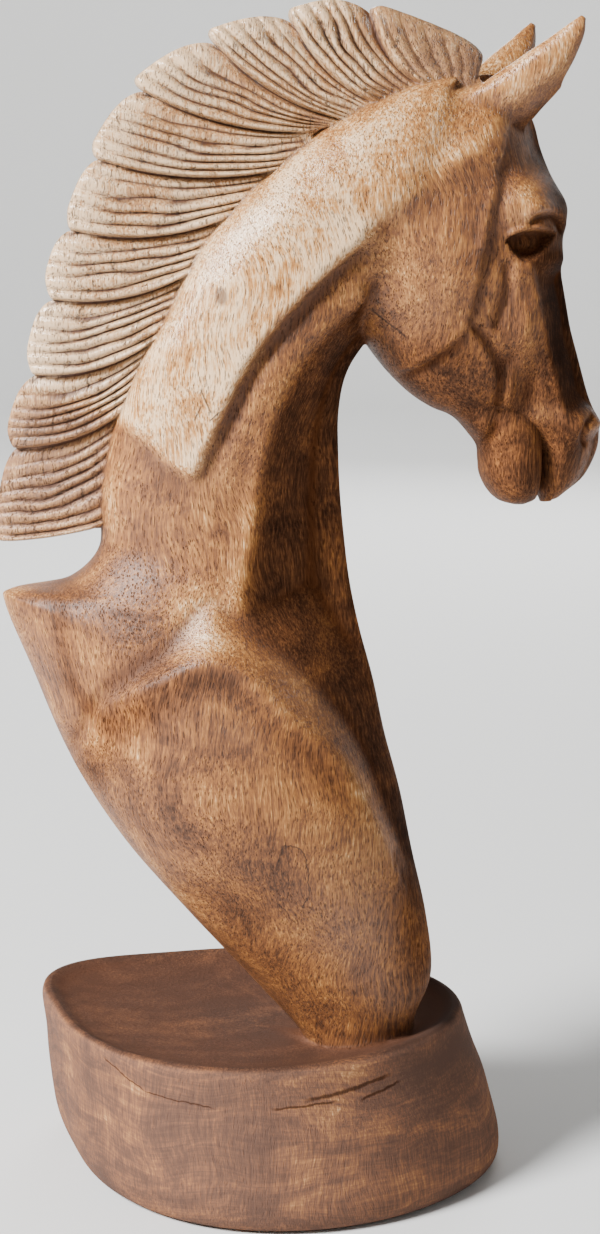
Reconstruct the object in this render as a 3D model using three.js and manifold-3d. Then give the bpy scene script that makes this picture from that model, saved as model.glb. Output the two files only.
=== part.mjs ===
// A horse's head and neck, carved in one with its base from a single block of wood.
// Millimetres. +X is the way the horse faces, +Y is its left, +Z is up.
// The bust and the base are lofted as closed forms, and joined into one solid.

import * as THREE from "three";
import { mergeVertices } from "three/addons/utils/BufferGeometryUtils.js";
import Module from "manifold-3d";

const wasm = await Module();
wasm.setup();

// Driving sizes
const HEIGHT = 600;
const BASE_HEIGHT = 85;
const BASE_RADIUS = 102;
const BASE_CENTRE = [-27, 23];
const BASE_LEAN = 18;
const DISH_DEPTH = 9;
const HEAD_TURN = 15;
const TURN_AXIS_X = 45;
const MANE_ROOT_HALF = 15;
const MANE_EDGE_HALF = 3;
const STRANDS_PER_LOCK = 6;
const STRAND_DEPTH = 1.8;
const LOCK_STEP = 3.6;
const SHOULDER_RISE = 10;
const PLATE_RISE = 4;
const CHEEK_RISE = 3.8;
const LEAST_WIDTH = 0.28;
const THROAT_SLOPE = 0.62;
const THROAT_ROUND = 5;
const THROAT_BROW = 1.5;

// Small helpers

const radians = THREE.MathUtils.degToRad;
const clamp = THREE.MathUtils.clamp;
const lerp = THREE.MathUtils.lerp;

// Rises smoothly from 0 to 1 while x goes from a to b.
function rise(x, a, b) {
  const t = clamp((x - a) / (b - a), 0, 1);
  return t * t * (3 - 2 * t);
}

// A smooth curve through rows of numbers, read at u from 0 to 1.
function along(rows, u) {
  const last = rows.length - 1;
  const place = clamp(u, 0, 1) * last;
  const i = Math.min(Math.floor(place), last - 1);
  const t = place - i;
  const p0 = rows[Math.max(i - 1, 0)];
  const p1 = rows[i];
  const p2 = rows[i + 1];
  const p3 = rows[Math.min(i + 2, last)];
  return p1.map((value, k) => {
    const slope1 = (p2[k] - p0[k]) / 2;
    const slope2 = (p3[k] - p1[k]) / 2;
    const a = 2 * value - 2 * p2[k] + slope1 + slope2;
    const b = 3 * p2[k] - 3 * value - 2 * slope1 - slope2;
    return value + t * (slope1 + t * (b + t * a));
  });
}

// Distance from a point of the side view to a line of points: minus on its right-hand side.
function sideDistance(line, x, z) {
  let best = Infinity;
  let sign = 1;
  for (let i = 0; i < line.length - 1; i += 1) {
    const [ax, az] = line[i];
    const [bx, bz] = line[i + 1];
    const dx = bx - ax;
    const dz = bz - az;
    const t = clamp(((x - ax) * dx + (z - az) * dz) / (dx * dx + dz * dz), 0, 1);
    const distance = Math.hypot(x - ax - t * dx, z - az - t * dz);
    if (distance < best) {
      best = distance;
      sign = Math.sign(dx * (z - az) - dz * (x - ax)) || 1;
    }
  }
  return best * sign;
}

// A soft round swelling in the side view.
function swelling(x, z, centre, reach, height) {
  const dx = (x - centre[0]) / reach[0];
  const dz = (z - centre[1]) / reach[1];
  return height * Math.exp(-dx * dx - dz * dz);
}

// A ridge, or a groove where the height is minus, that runs along a line.
function ridge(distance, width, height) {
  return height * Math.exp(-((distance / width) ** 2));
}

// 0 before an edge and the distance past it after, with a rounded turn between.
function past(distance, roundness) {
  return roundness * Math.log1p(Math.exp(distance / roundness));
}

// Turns a point about the upright axis through the neck, to the horse's left.
function turned(x, y, z, degrees) {
  const c = Math.cos(radians(degrees));
  const s = Math.sin(radians(degrees));
  const dx = x - TURN_AXIS_X;
  return [TURN_AXIS_X + dx * c - y * s, dx * s + y * c, z];
}

// A closed skin over rings of points, with a fan over each end.
function skin(rings) {
  const positions = [];
  const index = [];
  const count = rings[0].length;
  for (const ring of rings) {
    for (const point of ring) {
      positions.push(...point);
    }
  }
  for (let i = 0; i < rings.length - 1; i += 1) {
    for (let j = 0; j < count; j += 1) {
      const a = i * count + j;
      const b = i * count + ((j + 1) % count);
      index.push(a, b, b + count, a, b + count, a + count);
    }
  }
  for (const [ring, start, outward] of [
    [rings[0], 0, true],
    [rings[rings.length - 1], (rings.length - 1) * count, false],
  ]) {
    const centre = [0, 1, 2].map((k) => ring.reduce((sum, p) => sum + p[k], 0) / count);
    const middle = positions.length / 3;
    positions.push(...centre);
    for (let j = 0; j < count; j += 1) {
      const a = start + j;
      const b = start + ((j + 1) % count);
      index.push(...(outward ? [b, a, middle] : [a, b, middle]));
    }
  }
  const geometry = new THREE.BufferGeometry();
  geometry.setAttribute("position", new THREE.Float32BufferAttribute(positions, 3));
  geometry.setIndex(index);
  return geometry;
}

// Six times the volume inside the triangles: minus where their faces point inwards.
function sixVolumes(vertices, triangles) {
  let sum = 0;
  for (let i = 0; i < triangles.length; i += 3) {
    const [a, b, c] = [0, 1, 2].map((k) => new THREE.Vector3().fromArray(vertices, 3 * triangles[i + k]));
    sum += a.dot(b.cross(c));
  }
  return sum;
}

function solid(geometry) {
  const merged = mergeVertices(geometry, 1e-4);
  const vertProperties = new Float32Array(merged.attributes.position.array);
  const triVerts = new Uint32Array(merged.index.array);
  if (sixVolumes(vertProperties, triVerts) < 0) {
    triVerts.reverse();
  }
  return new wasm.Manifold(new wasm.Mesh({ numProp: 3, vertProperties, triVerts }));
}

// A form lofted from stations. Each station row holds: back x, back z, front x, front z,
// half width, fullness at the back, fullness at the front, turn in degrees.
// A fullness of 0.5 is round, less is square, more is sharp. Carving never takes a form
// thinner than its least width, so that its front and back stay rounded.
function lofted(stations, rings, sides, relief) {
  const made = [];
  for (let i = 0; i <= rings; i += 1) {
    const [bx, bz, fx, fz, half, backFull, frontFull, turn] = along(stations, i / rings);
    const widest = backFull / (backFull + frontFull);
    const peak = widest ** backFull * (1 - widest) ** frontFull;
    const ring = [];
    for (let j = 0; j < sides; j += 1) {
      const angle = (2 * Math.PI * j) / sides;
      const t = (1 - Math.cos(angle)) / 2;
      const side = Math.sign(Math.sin(angle)) || 1;
      const x = lerp(bx, fx, t);
      const z = lerp(bz, fz, t);
      const full = (t ** backFull * (1 - t) ** frontFull) / peak;
      const raised = relief(x, z) * rise(full, 0, 0.6);
      const y = side * Math.max(half * full + raised, LEAST_WIDTH * half * full);
      ring.push(turned(x, y, z, turn));
    }
    made.push(ring);
  }
  return solid(skin(made));
}

// Chest and neck. The rows climb the back cut from the foot to the point of the withers,
// step over it, and follow the crest to the poll.
const BODY = [
  [2, 66, 58, 70, 31, 0.5, 0.5, 0],
  [0, 80, 60, 88, 30, 0.5, 0.5, 0],
  [-20, 103, 68, 111, 34, 0.5, 0.5, 0],
  [-58, 148, 65, 142, 43, 0.5, 0.5, 0],
  [-90, 187, 57, 176, 52, 0.5, 0.5, 0],
  [-115, 228, 50, 208, 57, 0.5, 0.5, 0],
  [-136, 272, 43, 238, 56, 0.55, 0.5, 0],
  [-149, 304, 37, 266, 52, 0.65, 0.5, 0],
  [-146, 312, 30, 292, 48, 0.62, 0.46, 0],
  [-118, 317, 25, 316, 45, 0.45, 0.42, 0],
  [-101, 334, 22, 340, 42, 0.4, 0.4, 0],
  [-101, 360, 20, 362, 40, 0.4, 0.38, 1],
  [-96, 386, 19, 384, 38, 0.42, 0.36, 3],
  [-88, 410, 19, 402, 37, 0.42, 0.36, 5],
  [-78, 433, 22, 419, 36, 0.42, 0.36, 7],
  [-66, 456, 29, 432, 35, 0.42, 0.4, 9],
  [-54, 481, 42, 446, 34, 0.42, 0.4, 11],
  [-36, 504, 60, 456, 34, 0.42, 0.38, 13],
  [-14, 525, 82, 468, 34, 0.42, 0.36, 14],
  [11, 544, 102, 486, 33, 0.42, 0.36, 15],
  [38, 558, 112, 510, 29, 0.45, 0.38, 15],
  [62, 566, 114, 532, 23, 0.5, 0.4, 15],
  [84, 566, 106, 554, 13, 0.5, 0.5, 15],
];

// Lines of the carving on the neck and shoulder, in the side view.
const PLATE_EDGE = [
  [100, 541], [73, 525], [50, 509], [25, 490], [-4, 463], [-29, 431], [-45, 393], [-52, 374],
];
const PLATE_END = [
  [-98, 402], [-87, 397], [-76, 389], [-66, 379], [-52, 374],
];
const THROAT_EDGE = [
  [40, 464], [14, 449], [-7, 423], [-18, 388], [-22, 350], [-28, 311], [-22, 298], [0, 277],
  [26, 241], [40, 205], [52, 180], [66, 150], [80, 100], [88, 50],
];
const ARCH_EDGE = [
  [-113, 228], [-98, 258], [-83, 269], [-62, 281], [-41, 286], [-22, 277], [-4, 258],
  [18, 238], [32, 213], [44, 186],
];
const ARCH_FOOT = [
  [-117, 230], [-101, 261], [-85, 273], [-66, 287], [-46, 312], [-32, 305], [-16, 293],
  [2, 276], [17, 260], [30, 238], [42, 212], [52, 184],
];

function bodyRelief(x, z) {
  const fromPlate = sideDistance(PLATE_EDGE, x, z);
  const fromEnd = sideDistance(PLATE_END, x, z);
  const fromThroat = sideDistance(THROAT_EDGE, x, z);
  const aboveEdge = Math.max(sideDistance(ARCH_EDGE, x, z), 0);
  const belowFoot = Math.max(-sideDistance(ARCH_FOOT, x, z), 0);
  const plate = PLATE_RISE * rise(-fromPlate, -4, 3) * rise(fromEnd, -4, 3);
  const channel = ridge(fromPlate - 8, 7, -3.5) * rise(z, 360, 400);
  const throat = THROAT_BROW - THROAT_SLOPE * past(fromThroat, THROAT_ROUND);
  const ledge = belowFoot / (belowFoot + aboveEdge + 0.01);
  const shoulder = SHOULDER_RISE * ledge * rise(z, 90, 210) * lerp(0.4, 1, rise(x, -105, -50));
  return plate + channel + throat + shoulder;
}

// Head, from the poll down to the upper lip. The rows run down the jaw and the face.
const HEAD = [
  [60, 562, 96, 567, 9, 0.5, 0.5, HEAD_TURN],
  [44, 556, 107, 557, 21, 0.45, 0.45, HEAD_TURN],
  [26, 546, 115, 545, 27, 0.42, 0.4, HEAD_TURN],
  [12, 528, 119, 530, 31, 0.42, 0.36, HEAD_TURN],
  [6, 506, 125, 515, 34, 0.4, 0.32, HEAD_TURN],
  [9, 484, 131, 503, 36, 0.4, 0.3, HEAD_TURN],
  [15, 467, 132, 495, 37, 0.42, 0.3, HEAD_TURN],
  [22, 452.5, 129, 486, 37, 0.44, 0.32, HEAD_TURN],
  [29, 441, 129, 477, 36, 0.46, 0.33, HEAD_TURN],
  [37.5, 429, 131, 467, 34, 0.46, 0.34, HEAD_TURN],
  [48, 417, 133, 455, 31, 0.46, 0.34, HEAD_TURN],
  [60, 407, 136, 441, 27, 0.46, 0.34, HEAD_TURN],
  [74, 400, 141, 426, 24, 0.46, 0.34, HEAD_TURN],
  [90, 398, 146, 411, 22, 0.44, 0.34, HEAD_TURN],
  [105, 394, 150, 401, 22, 0.4, 0.34, HEAD_TURN],
  [116, 388, 153, 393, 22, 0.36, 0.36, HEAD_TURN],
  [121.5, 380, 153, 384, 21, 0.34, 0.38, HEAD_TURN],
  [123, 371, 150, 375, 19, 0.36, 0.42, HEAD_TURN],
  [123.5, 361, 145, 365, 15, 0.4, 0.45, HEAD_TURN],
  [125.5, 353.5, 137, 357, 8, 0.5, 0.5, HEAD_TURN],
];

// Chin and lower lip. They meet the upper lip in the cleft of the mouth.
const CHIN = [
  [62, 414, 104, 428, 12, 0.45, 0.5, HEAD_TURN],
  [74, 402, 112, 412, 17, 0.42, 0.4, HEAD_TURN],
  [85, 392, 118, 399, 20, 0.4, 0.34, HEAD_TURN],
  [91.5, 383, 121.5, 389, 21, 0.4, 0.32, HEAD_TURN],
  [93, 375, 122.5, 379, 21, 0.4, 0.32, HEAD_TURN],
  [94, 368, 122.5, 370, 20.5, 0.4, 0.32, HEAD_TURN],
  [98, 360, 122, 361.5, 18, 0.4, 0.34, HEAD_TURN],
  [103, 355, 121, 356, 13, 0.42, 0.38, HEAD_TURN],
  [109, 353, 117, 353.5, 7, 0.5, 0.5, HEAD_TURN],
];

// Lines of the carving on the head.
const CHEEK_EDGE = [
  [22, 470], [21, 455], [23, 438], [31, 426], [40, 420], [49, 423], [60, 431], [71, 441],
  [76, 456], [79, 474], [81, 491], [83, 501], [86, 510], [91, 524],
];
const TEMPLE = [
  [98, 534], [92, 521], [88, 507], [86, 492], [86, 478],
];
const NOSE_EDGE = [
  [106, 474], [110, 461], [115, 446], [119, 435], [124, 422], [128, 409], [131, 396],
];

function headRelief(x, z) {
  const pastNose = past(sideDistance(NOSE_EDGE, x, z), 3);
  const cheek = CHEEK_RISE * rise(sideDistance(CHEEK_EDGE, x, z), -3, 4);
  const temple = ridge(sideDistance(TEMPLE, x, z), 5, -3);
  const brow = swelling(x, z, [104, 505], [15, 12], 5.5);
  const eye = swelling(x, z, [104, 484], [10, 6], -3.5);
  const eyeball = swelling(x, z, [105, 484], [5, 3.5], 2.5);
  const crest = swelling(x, z, [105, 445], [7, 15], 3.6);
  const hollow = swelling(x, z, [110, 413], [6, 12], -3);
  const nose = -0.6 * pastNose * rise(-z, -478, -464) * rise(z, 392, 412);
  const nostril = swelling(x, z, [141, 391], [9, 9], 2.4);
  return cheek + temple + brow + eye + eyeball + crest + hollow + nose + nostril;
}

// Mane. Each row holds a lock's lower border: root x, root z, notch x, notch z,
// how far the border bends, and the turn in degrees.
const MANE = [
  [-92, 347, -149.5, 336, 2, 0],
  [-70, 419, -141, 384, 9, 3],
  [-59, 450, -131, 421, 9, 6],
  [-44, 478, -122, 458, 8, 8],
  [-27, 502, -113, 491.5, 8, 10],
  [-5, 522, -100, 525, 7, 12],
  [4, 538, -78, 557, 6, 13],
  [20, 543, -43, 579, 6, 14],
  [38, 549, -5, 589, 6, 15],
  [60, 558, 34, 594, 6, 15],
  [86, 560, 92, 572, 0, 15],
];

// How far the tip of each lock stands out past the line between its two notches.
const LOCK_TIPS = [6, 8.5, 7, 6, 4, 5.5, 8, 9, 9, 9];

// A lock's edge from its lower border (0) to its upper one (1). High locks have their tip
// near the lower border, low locks are fuller.
function lockOutline(lock, across) {
  const level = lock / (LOCK_TIPS.length - 1);
  const crown = 0.5 - 0.3 * rise(level, 0.3, 0.7);
  const swell = Math.sin((Math.PI / 2) * Math.min(across / crown, 1)) ** 0.8;
  const fall = Math.max(1 - across ** (8 - 3.5 * level), 0) ** 0.8;
  return LOCK_TIPS[lock] * swell * fall;
}

function maneSolid() {
  const rows = 5;
  const columns = (MANE.length - 1) * STRANDS_PER_LOCK * 2;
  const rings = [];
  for (let i = 0; i <= columns; i += 1) {
    const u = i / columns;
    const lock = Math.min(Math.floor(u * (MANE.length - 1)), MANE.length - 2);
    const across = clamp(u * (MANE.length - 1) - lock, 0, 1);
    const [rx, rz, nx, nz, bend, turn] = along(MANE, u);
    const length = Math.hypot(nx - rx, nz - rz);
    const dx = (nx - rx) / length;
    const dz = (nz - rz) / length;
    const reach = length + lockOutline(lock, across);
    const strand = i % 2 === 0 ? -STRAND_DEPTH / 2 : STRAND_DEPTH / 2;
    const shingle = LOCK_STEP * (1 - across) ** 1.5 * rise(across, 0, 0.04);
    const near = [];
    const far = [];
    for (let j = 0; j <= rows; j += 1) {
      const r = j / rows;
      const sag = bend * 4 * r * (1 - r);
      const x = rx + dx * reach * r - dz * sag;
      const z = rz + dz * reach * r + dx * sag;
      const thick = lerp(MANE_ROOT_HALF, MANE_EDGE_HALF, r ** 0.8);
      const carved = (shingle + strand) * rise(r, 0, 0.3) * (1 - 0.5 * r);
      const half = Math.max(thick + carved, 1.5);
      near.push(turned(x, -half, z, turn));
      far.push(turned(x, half, z, turn));
    }
    rings.push([...near, ...far.reverse()]);
  }
  return solid(skin(rings));
}

// Ears: a leaf, lofted from its root to its tip.
// Each row holds: back x, back z, front x, front z, distance out from the middle, half thickness.
const EAR = [
  [74, 550, 108, 538, 16, 9],
  [84, 561, 114, 548, 20, 9],
  [95, 569, 119, 557, 24, 8],
  [106, 577, 124, 566, 28, 7],
  [116, 584, 128, 576, 31, 5.5],
  [124, 590, 130, 585, 34, 3.5],
  [129, 593.5, 130.5, 592, 35, 1.2],
];

function earSolid(side) {
  const sides = 12;
  const rings = 8;
  const made = [];
  for (let i = 0; i <= rings; i += 1) {
    const [bx, bz, fx, fz, out, half] = along(EAR, i / rings);
    const ring = [];
    for (let j = 0; j < sides; j += 1) {
      const angle = (2 * Math.PI * j) / sides;
      const t = (1 - Math.cos(angle)) / 2;
      const y = out + half * Math.sin(angle);
      ring.push(turned(lerp(bx, fx, t), side * y, lerp(bz, fz, t), HEAD_TURN));
    }
    made.push(ring);
  }
  return solid(skin(made));
}

// Base: a rough round of the trunk with one blunt corner, leaning forward as it goes down.
// Each row holds: height, share of the outline, share of the lean.
const BASE = [
  [0, 0.97, 1],
  [2, 0.995, 0.98],
  [8, 1.02, 0.92],
  [18, 1.035, 0.8],
  [48, 1.025, 0.45],
  [77, 1, 0.06],
  [83, 0.985, 0.02],
  [BASE_HEIGHT, 0.955, 0],
  [BASE_HEIGHT - 1, 0.93, 0],
  [BASE_HEIGHT - 4, 0.86, 0],
  [BASE_HEIGHT - 7, 0.7, 0],
  [BASE_HEIGHT - DISH_DEPTH, 0.4, 0],
];

function baseRadius(angle) {
  const near = (middle, spread) => {
    const away = Math.abs(((((angle - radians(middle)) / Math.PI + 3) % 2) - 1) * 180);
    return Math.exp(-((away / spread) ** 2));
  };
  return BASE_RADIUS + 23 * near(147, 21) + 12 * near(10, 40) - 9 * near(214, 28);
}

function baseSolid() {
  const sides = 36;
  const rings = BASE.map(([z, share, lean]) => {
    const ring = [];
    for (let j = 0; j < sides; j += 1) {
      const angle = (2 * Math.PI * j) / sides;
      const radius = baseRadius(angle) * share;
      const x = BASE_CENTRE[0] + BASE_LEAN * lean + radius * Math.cos(angle);
      ring.push([x, BASE_CENTRE[1] + radius * Math.sin(angle), z]);
    }
    return ring;
  });
  return solid(skin(rings));
}

// All the forms become one block of wood, and its footprint is centred on the origin.
function bustGeometry() {
  const forms = [
    lofted(BODY, 44, 32, bodyRelief),
    lofted(HEAD, 34, 30, headRelief),
    lofted(CHIN, 9, 16, () => 0),
    maneSolid(),
    earSolid(-1),
    earSolid(1),
    baseSolid(),
  ];
  const whole = forms.reduce((sum, form) => sum.add(form));
  const mesh = whole.getMesh();
  const geometry = new THREE.BufferGeometry();
  geometry.setAttribute("position", new THREE.Float32BufferAttribute(mesh.vertProperties, 3));
  geometry.setIndex(Array.from(mesh.triVerts));
  geometry.computeBoundingBox();
  const box = geometry.boundingBox;
  const size = HEIGHT / (box.max.z - box.min.z);
  geometry.translate(-(box.min.x + box.max.x) / 2, -(box.min.y + box.max.y) / 2, -box.min.z);
  geometry.scale(size, size, size);
  geometry.computeVertexNormals();
  return geometry;
}

const wood = new THREE.MeshStandardMaterial({ color: 0xa9794a, roughness: 0.55, metalness: 0 });
const bust = new THREE.Mesh(bustGeometry(), wood);
bust.name = "horse_head_bust";

const group = new THREE.Group();
group.add(bust);

export default group;
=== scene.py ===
# %% [markdown]
# # A carved horse's head, in one piece with its base
# The real object was cut from one block of brown hardwood with gouges and a knife, sanded on its
# broad planes and oiled. This lesson rebuilds it in the same order as a carver would: first the
# big rounded forms, then the planes and creases on them, then the locks of the mane, and the
# finish last. Every form is a closed skin over rings of points. All the forms are joined into one
# solid, because the real bust and its base are one piece of wood.

# %% Load the frame
import bpy
import math
import numpy as np
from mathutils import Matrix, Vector


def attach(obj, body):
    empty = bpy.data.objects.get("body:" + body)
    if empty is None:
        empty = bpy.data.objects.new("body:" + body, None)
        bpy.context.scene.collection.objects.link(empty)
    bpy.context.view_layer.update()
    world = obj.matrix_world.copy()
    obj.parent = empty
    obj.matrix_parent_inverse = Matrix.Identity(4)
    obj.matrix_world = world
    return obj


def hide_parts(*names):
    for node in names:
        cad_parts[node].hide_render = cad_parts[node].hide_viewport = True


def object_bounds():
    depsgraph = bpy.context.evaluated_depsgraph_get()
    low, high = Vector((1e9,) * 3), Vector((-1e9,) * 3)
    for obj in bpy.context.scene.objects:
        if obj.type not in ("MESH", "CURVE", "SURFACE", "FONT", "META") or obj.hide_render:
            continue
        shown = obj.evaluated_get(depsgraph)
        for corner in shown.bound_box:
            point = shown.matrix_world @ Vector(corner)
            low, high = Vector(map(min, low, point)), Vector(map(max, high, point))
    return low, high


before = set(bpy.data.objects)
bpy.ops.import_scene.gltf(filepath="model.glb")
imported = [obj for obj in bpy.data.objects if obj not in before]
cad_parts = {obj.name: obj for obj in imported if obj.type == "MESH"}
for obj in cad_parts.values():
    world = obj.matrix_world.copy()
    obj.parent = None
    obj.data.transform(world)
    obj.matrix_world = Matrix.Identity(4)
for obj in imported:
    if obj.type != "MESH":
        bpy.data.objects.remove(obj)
cad_low, cad_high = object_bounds()
NODE = "horse_head_bust"
MM = 0.001
print("the solid is", [round(v / MM) for v in cad_high - cad_low], "mm")

# %% [markdown]
# ## Reading curves and lines
# A form is described by a few rows of numbers in millimetres, each a station along it. `along`
# reads a smooth curve through the rows, so a dozen rows give as many rings as we like. Creases
# and edges are lines in the side view. `beside` says how far each point lies from such a line,
# plus on its left and minus on its right, and `rise` turns that distance into a soft step.

# %% Curves, steps and swellings


def rise(x, a, b):
    """A soft step from 0 at a to 1 at b."""
    t = np.clip((x - a) / (b - a), 0, 1)
    return t * t * (3 - 2 * t)


def along(rows, u):
    """The smooth curve through all the rows, read at every share u of its length."""
    rows = np.asarray(rows, float)
    last = len(rows) - 1
    place = np.clip(np.asarray(u, float), 0, 1) * last
    i = np.minimum(place.astype(int), last - 1)
    t = (place - i)[:, None]
    before, start, end, after = (rows[np.clip(i + k, 0, last)] for k in (-1, 0, 1, 2))
    slope_in = (end - before) / 2
    slope_out = (after - start) / 2
    a = 2 * start - 2 * end + slope_in + slope_out
    b = 3 * end - 3 * start - 2 * slope_in - slope_out
    return start + t * (slope_in + t * (b + t * a))


def beside(line, x, z):
    """How far points lie from a line: plus on its left, minus on its right."""
    best = np.full(x.shape, np.inf)
    signed = np.zeros(x.shape)
    for (ax, az), (bx, bz) in zip(line[:-1], line[1:]):
        dx, dz = bx - ax, bz - az
        t = np.clip(((x - ax) * dx + (z - az) * dz) / (dx * dx + dz * dz), 0, 1)
        away = np.hypot(x - ax - t * dx, z - az - t * dz)
        side = np.where(dx * (z - az) - dz * (x - ax) < 0, -1.0, 1.0)
        nearer = away < best
        best = np.where(nearer, away, best)
        signed = np.where(nearer, away * side, signed)
    return signed


def smooth_line(points, count=40):
    return along(points, np.linspace(0, 1, count))


def swelling(x, z, centre, reach, height):
    """A soft oval hill, or a hollow where its height is below nothing."""
    return height * np.exp(-((x - centre[0]) / reach[0]) ** 2 - ((z - centre[1]) / reach[1]) ** 2)


def crease(distance, width, height):
    """A soft ridge along a line, or a groove where its height is below nothing."""
    return height * np.exp(-((distance / width) ** 2))


def past(distance, roundness):
    """0 before an edge, and the distance past it after, with a rounded turn between."""
    return roundness * np.logaddexp(0, distance / roundness)


# %% [markdown]
# ## A turned head and an uneven skin
# The horse looks a little to its left. So every station of a form carries its own turn about an
# upright axis in the neck: none at the chest, 15 degrees at the head. Turned station by station
# the neck bends as a living one does, where a finished head turned at once would leave a step.
# A few slow waves in random directions stand for the unevenness that handwork leaves.

# %% Turning and unevenness
TURN_AXIS_X = 45
HEAD_TURN = 15


def turned(x, y, z, degrees):
    """Points turned to the horse's left about the upright axis in the neck."""
    c = np.cos(np.radians(degrees))
    s = np.sin(np.radians(degrees))
    dx = x - TURN_AXIS_X
    return np.stack([TURN_AXIS_X + dx * c - y * s, dx * s + y * c, z + 0 * y], axis=-1)


def uneven(x, z, seed, size, height):
    """The slow unevenness that a gouge and sandpaper leave, as a sum of waves."""
    waves = 7
    rng = np.random.default_rng(seed)
    total = 0
    for _ in range(waves):
        angle, phase = rng.uniform(0, math.tau, 2)
        wave = math.tau / (size * rng.uniform(0.7, 1.6))
        total = total + np.sin(wave * (x * math.cos(angle) + z * math.sin(angle)) + phase)
    return height * total / 3


# %% [markdown]
# ## From rings to a closed solid
# `skin` lays faces between rings and closes both ends with a fan. Faces have to point outwards,
# so the volume is measured and the faces are turned round if it comes out as less than nothing.

# %% Skins and solids


def mesh_object(name, points, faces):
    """A new object from points in metres and faces."""
    mesh = bpy.data.meshes.new(name)
    mesh.from_pydata([tuple(p) for p in np.asarray(points)], [], [tuple(f) for f in faces])
    mesh.update()
    piece = bpy.data.objects.new(name, mesh)
    bpy.context.scene.collection.objects.link(piece)
    return piece


def skin(name, rings):
    """A closed skin over rings of points in millimetres."""
    rings = np.asarray(rings)
    rows, count = rings.shape[:2]
    points = rings.reshape(-1, 3)
    middles = [rings[0].mean(axis=0), rings[-1].mean(axis=0)]
    points = np.concatenate([points, middles])
    i, j = np.meshgrid(np.arange(rows - 1), np.arange(count), indexing="ij")
    a = (i * count + j).ravel()
    b = (i * count + (j + 1) % count).ravel()
    quads = np.stack([a, b, b + count, a + count], axis=1).tolist()
    start, end = rows * count, rows * count + 1
    edge = np.arange(count)
    step = (edge + 1) % count
    first = np.stack([step, edge, np.full(count, start)], axis=1).tolist()
    last = (rows - 1) * count
    final = np.stack([last + edge, last + step, np.full(count, end)], axis=1).tolist()
    faces = quads + first + final
    if volume(points, faces) < 0:
        faces = [face[::-1] for face in faces]
    return mesh_object(name, points * MM, faces)


def volume(points, faces):
    """The volume inside faces of three or four corners, below nothing if they face inwards."""
    total = 0.0
    for corner in (1, 2):
        used = [f for f in faces if len(f) > corner + 1]
        f = np.array([[f[0], f[corner], f[corner + 1]] for f in used])
        a, b, c = points[f[:, 0]], points[f[:, 1]], points[f[:, 2]]
        total += np.einsum("ij,ij->i", a, np.cross(b, c)).sum() / 6
    return total


def apply_modifiers(piece):
    """Makes what the modifiers show the piece's own mesh."""
    bpy.context.view_layer.update()
    graph = bpy.context.evaluated_depsgraph_get()
    mesh = bpy.data.meshes.new_from_object(piece.evaluated_get(graph))
    piece.modifiers.clear()
    piece.data = mesh


def combined(piece, other, operation):
    """Joins another closed form to a piece, or cuts it away."""
    step = piece.modifiers.new("combine", "BOOLEAN")
    step.operation = operation
    step.solver = "MANIFOLD"
    step.object = other
    apply_modifiers(piece)
    bpy.data.objects.remove(other)
    return piece


LEAST_WIDTH = 0.28


def larger(a, b, blend):
    """The larger of two heights, with a rounded turn from one to the other."""
    away = np.maximum(blend - np.abs(a - b), 0) / blend
    return np.maximum(a, b) + away**2 * blend / 4


def lofted(name, stations, rings, sides, relief):
    """A form through rows of: back x, back z, front x, front z, half width, fullness at the
    back and at the front (0.5 round, less square, more sharp), and turn in degrees."""
    u = np.linspace(0, 1, rings + 1)
    rows = along(stations, u)[:, :, None]
    bx, bz, fx, fz, half, back, front, turn = (rows[:, k] for k in range(8))
    angle = np.linspace(0, math.tau, sides, endpoint=False)[None, :]
    t = (1 - np.cos(angle)) / 2
    side = np.where(np.sin(angle) < 0, -1.0, 1.0)
    widest = back / (back + front)
    peak = widest**back * (1 - widest) ** front
    full = t**back * (1 - t) ** front / peak
    x = bx + (fx - bx) * t
    z = bz + (fz - bz) * t
    carved = half * full + relief(x, z) * rise(full, 0, 0.6)
    least = LEAST_WIDTH * half * full
    y = side * np.where(full > 0, larger(carved, least, 1.5 * rise(full, 0, 0.4) + 0.01), 0)
    return skin(name, turned(x, y, z, turn))


# %% [markdown]
# ## Chest and neck
# The neck rises from a narrow foot, opens over the shoulder, and is cut off behind in one long
# slope up to the point of the withers. Its side is carved in planes: a broad raised plate below
# the mane, a channel under the plate's edge, a rounded edge that runs down the throat, and the
# arch of the shoulder. These are added to the rounded form as distances from named lines.

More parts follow.
